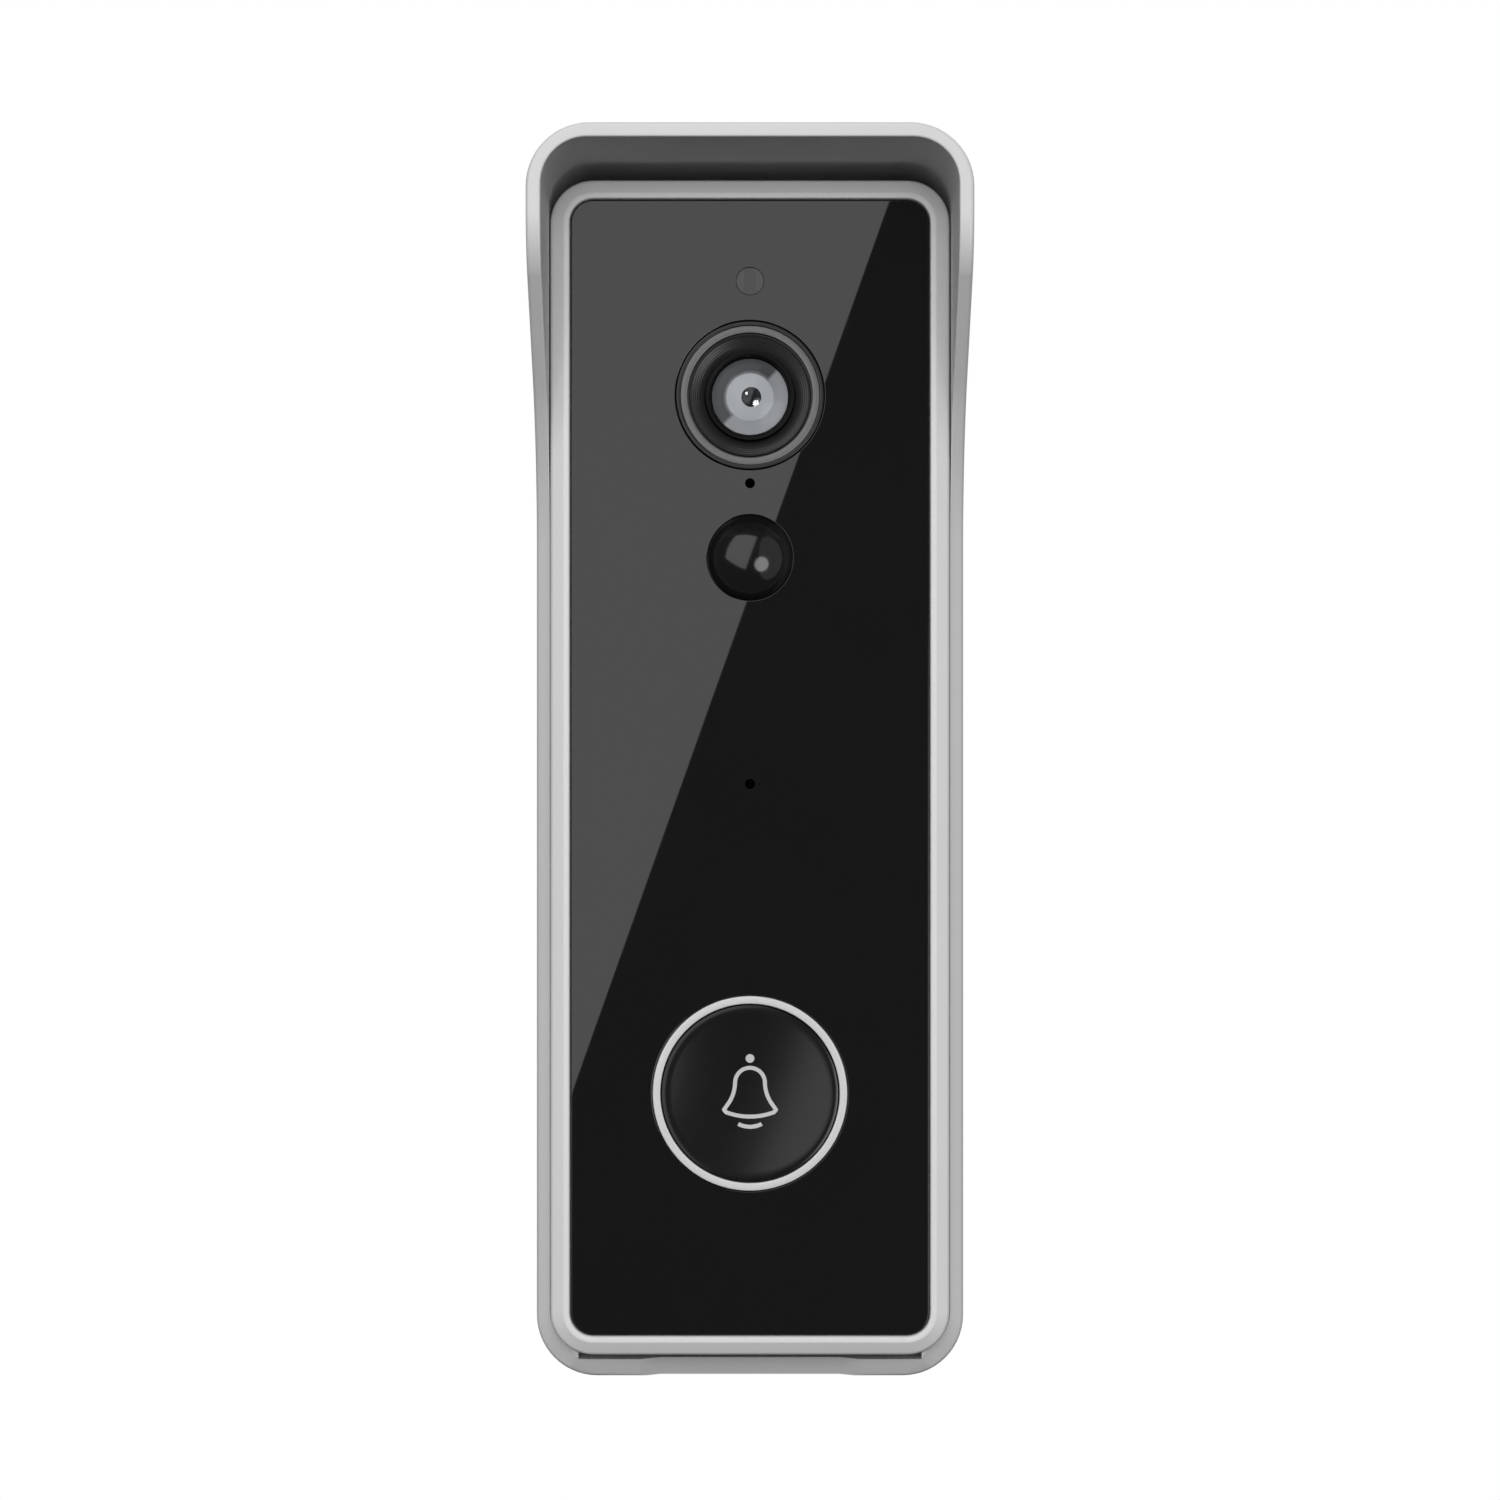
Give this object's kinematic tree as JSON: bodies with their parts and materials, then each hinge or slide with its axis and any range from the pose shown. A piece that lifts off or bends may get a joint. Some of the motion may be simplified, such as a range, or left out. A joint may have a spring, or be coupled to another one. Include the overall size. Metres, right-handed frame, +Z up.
{
  "type": "video doorbell",
  "caption": "Battery video doorbell: tall glossy panel in a silver frame, camera above a round ringed push button, inside a hooded rain cover that screws to the wall.",
  "frame": {"origin": "middle of the two wall screws, on the wall face of the rain cover", "axes": "+Z up, along the doorbell's length; +X to the right seen from the front; the front faces -Y and the wall is the plane y = 0"},
  "size_m": [0.0514, 0.046, 0.1474],
  "materials": {
    "silver_plastic": "fine satin silver-grey",
    "black_gloss": "polished black",
    "dark_plastic": "fine texture",
    "grey_metal": "fine turned grey",
    "lens_glass": "coated glass",
    "smoked_window": "smoked clear",
    "light_guide": "milky translucent",
    "rubber": "soft matt",
    "circuit_board": "solder mask",
    "steel": "plated",
    "brass": "turned",
    "cell_wrap": "shrink wrap",
    "flex_film": "polyimide film",
    "white_plastic": "moulded"
  },
  "bodies": {
    "cover": {"rain_cover": "silver_plastic", "lock_screw": "steel"},
    "button": {"button_cap": "black_gloss", "bell_icon": "light_guide", "switch_plunger": "dark_plastic"},
    "reset": {"reset_button": "dark_plastic"},
    "tamper": {"tamper_plunger": "dark_plastic"},
    "filter": {"filter_frame": "dark_plastic", "filter_glasses": "lens_glass"},
    "plug": {"port_plug": "rubber"},
    "doorbell": {"antenna": "flex_film", "battery_cells": "cell_wrap", "battery_contacts": "steel", "battery_cover": "dark_plastic", "battery_cover_seal": "rubber", "battery_tray": "dark_plastic", "board_chips": "dark_plastic", "board_connectors": "white_plastic", "board_screws": "steel", "button_board": "circuit_board", "button_carrier": "dark_plastic", "button_ring": "light_guide", "button_seal": "rubber", "button_switch": "steel", "camera_bezel": "black_gloss", "camera_board": "circuit_board", "camera_carrier": "dark_plastic", "camera_ring": "grey_metal", "charging_port": "steel", "flex_cables": "flex_film", "front_board": "circuit_board", "front_board_parts": "white_plastic", "front_frame": "silver_plastic", "front_lens": "lens_glass", "front_panel": "black_gloss", "housing_seal": "rubber", "image_sensor": "black_gloss", "infrared_leds": "white_plastic", "infrared_window": "black_gloss", "inner_lenses": "lens_glass", "lens_barrel": "dark_plastic", "lens_mount": "dark_plastic", "lock_insert": "brass", "main_board": "circuit_board", "microphone": "steel", "microphone_boot": "rubber", "motion_lens": "black_gloss", "motion_sensor": "steel", "panel_tape": "rubber", "radio_module": "steel", "rear_housing": "dark_plastic", "rear_screws": "steel", "rear_switches": "steel", "ring_leds": "white_plastic", "sensor_window": "smoked_window", "shield_can": "steel", "speaker": "dark_plastic", "speaker_gasket": "rubber", "status_light_pipe": "smoked_window", "tamper_spring": "steel"}
  },
  "joints": [
    {"name": "body_lift", "type": "slide", "parent": "cover", "child": "doorbell", "axis": [0, 0, 1], "range_m": [0, 0.002]},
    {"name": "button_press", "type": "slide", "parent": "doorbell", "child": "button", "axis": [0, 1, 0], "range_m": [0, 0.0004], "stiffness_N_per_m": 2500, "springref_m": -0.0004, "deforming": ["button_seal"]},
    {"name": "reset_press", "type": "slide", "parent": "doorbell", "child": "reset", "axis": [0, -1, 0], "range_m": [0, 0.0004], "stiffness_N_per_m": 2000, "springref_m": -0.0004},
    {"name": "tamper_press", "type": "slide", "parent": "doorbell", "child": "tamper", "axis": [0, -1, 0], "range_m": [-0.0008, 0.0004], "stiffness_N_per_m": 300, "springref_m": -0.0016, "deforming": ["tamper_spring"]},
    {"name": "filter_shift", "type": "slide", "parent": "doorbell", "child": "filter", "axis": [1, 0, 0], "range_m": [0, 0.006]},
    {"name": "plug_pull", "type": "slide", "parent": "doorbell", "child": "plug", "axis": [0, 1, 0], "range_m": [0, 0.005]}
  ]
}
